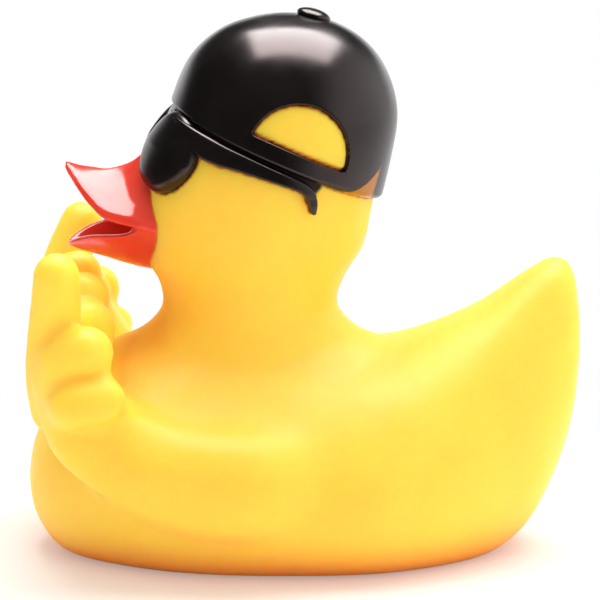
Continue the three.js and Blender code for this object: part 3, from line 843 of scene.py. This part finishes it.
black, tree, shader = finish("black_paint", specular_tint=(1.0, 0.8, 0.78, 1))
wander = calc(tree, "MULTIPLY", noise(tree, 1.1, 2.0), 0.3)
colour = blend(tree, fade(tree, noise(tree, 9), 0.4, 0.6, 0, 1), BLACK, SOFT_BLACK)
edge_height = calc(tree, "ADD", kept(tree, "rise"), wander)
colour = blend(tree, fade(tree, edge_height, 0.2, 0.5, 1, 0), colour, THIN_EDGE)
thin = calc(tree, "ADD", kept(tree, "thin"), calc(tree, "MULTIPLY", wander, 0.4))
colour = blend(tree, fade(tree, thin, 0.15, 0.4, 0, 1), colour, THIN_CORNER)
tree.links.new(colour, shader.inputs["Base Color"])
tree.links.new(fade(tree, noise(tree, 5), 0.3, 0.7, 0.21, 0.27), shader.inputs["Roughness"])
grain(tree, shader, 0.9, 0.002)
for thing in (cap, cap_peak, sunglasses):
    thing.data.materials.append(black)
print("black paint:", len(tree.nodes), "nodes")

# %% [markdown]
# ## Red paint
#
# The bill has the same gloss coat in red. The vinyl below is soft, so a little light
# still gets under the paint and warms the thin lips.

# %% Red paint
RED, DEEP_RED, THIN_RED = (0.72, 0.06, 0.035, 1), (0.66, 0.045, 0.027, 1), (0.85, 0.13, 0.02, 1)

red, tree, shader = finish(
    "red_paint", subsurface_weight=0.3, subsurface_radius=(1.0, 0.2, 0.1), subsurface_scale=0.003,
    specular_ior_level=0.42,
)
wander = calc(tree, "MULTIPLY", noise(tree, 1.1, 2.0), 0.3)
colour = blend(tree, fade(tree, noise(tree, 7), 0.4, 0.6, 0, 1), RED, DEEP_RED)
edge_height = calc(tree, "ADD", kept(tree, "rise"), wander)
colour = blend(tree, fade(tree, edge_height, 0.15, 0.4, 1, 0), colour, THIN_RED)
tree.links.new(colour, shader.inputs["Base Color"])
tree.links.new(fade(tree, noise(tree, 5), 0.3, 0.7, 0.14, 0.22), shader.inputs["Roughness"])
grain(tree, shader, 0.8, 0.003)
bill.data.materials.append(red)
print("red paint:", len(tree.nodes), "nodes")

# %% [markdown]
# ## Floor
#
# The duck stands on white paper. Close to the duck the paper is matt white and keeps
# the shadow, but a camera ray sees part of it as a painted warm glow: an emission that
# stands in for light bounced off the vinyl and lightens the shadow. Further out a camera
# ray sees it as pure white, so that it melts into the backdrop. A reflection sees it
# bright behind the tail and dark in front, as the set round the duck is.

# %% Floor
ground = bmesh.new()
bmesh.ops.create_grid(ground, x_segments=1, y_segments=1, size=3)
mesh = bpy.data.meshes.new("floor")
ground.to_mesh(mesh)
ground.free()
floor = bpy.data.objects.new("floor", mesh)
bpy.context.collection.objects.link(floor)

paper, tree, shader = finish("floor_paper", roughness=0.9, specular_ior_level=0.1)
fibres = blend(tree, noise(tree, 3), (0.9, 0.9, 0.9, 1), (0.93, 0.92, 0.92, 1))
tree.links.new(fibres, shader.inputs["Base Color"])
place = add(tree, "TexCoord", {}).outputs["Object"]
oval = add(tree, "VectorMath", {0: place, 1: (0.65, 1, 1)}, operation="MULTIPLY").outputs["Vector"]
away = add(tree, "VectorMath", {0: oval}, operation="LENGTH").outputs["Value"]
path = add(tree, "LightPath", {})
# Painted warm glow: near the duck a camera ray sees part of the paper as a warm emission, and pure white
# further out.
share = calc(tree, "MULTIPLY", fade(tree, away, 0.035, 0.075, 0.35, 1), path.outputs["Is Camera Ray"])
painted_warm_glow = blend(tree, fade(tree, away, 0.035, 0.068, 0, 1), (1, 0.8, 0.7, 1), (1, 1, 1, 1))
white = add(tree, "Emission", {"Color": painted_warm_glow, "Strength": 1.0})
seen = add(tree, "MixShader", {0: share, 1: shader.outputs["BSDF"], 2: white.outputs["Emission"]})
way = add(tree, "VectorMath", {0: place}, operation="NORMALIZE").outputs["Vector"]
back_right = add(tree, "VectorMath", {0: way, 1: (-0.7, -0.7, 0)}, operation="DOT_PRODUCT").outputs["Value"]
set_light = fade(tree, back_right, -0.5, 0.1, 0.05, 1.1)
mirrored = add(tree, "Emission", {"Color": (1, 1, 1, 1), "Strength": set_light})
far_off = calc(tree, "MULTIPLY", fade(tree, away, 0.06, 0.14, 0, 1), path.outputs["Is Glossy Ray"])
mixed = add(tree, "MixShader", {0: far_off, 1: seen.outputs["Shader"], 2: mirrored.outputs["Emission"]})
tree.links.new(mixed.outputs["Shader"], tree.nodes["Material Output"].inputs["Surface"])
floor.data.materials.append(paper)
print("floor:", [round(d, 2) for d in floor.dimensions])

# %% [markdown]
# ## Lamps
#
# One big softbox hangs above and a little behind. It gives the cap its broad window of
# light. A matt surface needs far less light than a gloss coat needs for a clear
# reflection, so a second lamp, a centimetre below the first, shows only in reflections.

# %% Lamps
def softbox(name, watts, height):
    lamp = bpy.data.lights.new(name, "AREA")
    lamp.shape = "RECTANGLE"
    lamp.size, lamp.size_y = 0.57, 0.53
    lamp.energy = watts
    box = bpy.data.objects.new(name, lamp)
    bpy.context.collection.objects.link(box)
    box.location = (-0.075, -0.165, height)
    return box


softbox("softbox", 4.6, 0.6)
sheen = softbox("softbox_sheen", 8.0, 0.59)
sheen.visible_diffuse = False

# %% [markdown]
# ## World
#
# The world fills the shadows, more from the tail's side than from the front. In
# reflections it is a white backdrop behind the duck and a bright side behind its tail,
# and dark behind the camera, which keeps the black paint black. The camera sees white.

# %% World
world = bpy.data.worlds.new("studio")
bpy.context.scene.world = world
world.use_nodes = True
tree = world.node_tree
direction = add(tree, "TexCoord", {}).outputs["Generated"]
towards = add(tree, "SeparateXYZ", {0: direction}).outputs
right = add(tree, "VectorMath", {0: direction, 1: (-0.9, -0.3, 0)}, operation="DOT_PRODUCT").outputs["Value"]
fill = fade(tree, right, -0.7, 0.7, 0.62, 1.4)
low = fade(tree, towards["Z"], 0.14, 0.3, 1.0, 0.0)
backdrop = calc(tree, "MULTIPLY", fade(tree, towards["Y"], -0.85, -0.55, 1.4, 0.0), low)
side = fade(tree, towards["X"], -0.95, -0.4, 1.3, 0.03)
path = add(tree, "LightPath", {})
mirrored = calc(tree, "MAXIMUM", backdrop, side)
level = add(tree, "Mix", {0: path.outputs["Is Glossy Ray"], 2: fill, 3: mirrored}).outputs[0]
level = add(tree, "Mix", {0: path.outputs["Is Camera Ray"], 2: level, 3: 1.0}).outputs[0]
tree.nodes["Background"].inputs["Color"].default_value = (1, 1, 1, 1)
tree.links.new(level, tree.nodes["Background"].inputs["Strength"])

scene = bpy.context.scene
scene.view_settings.view_transform = "Standard"
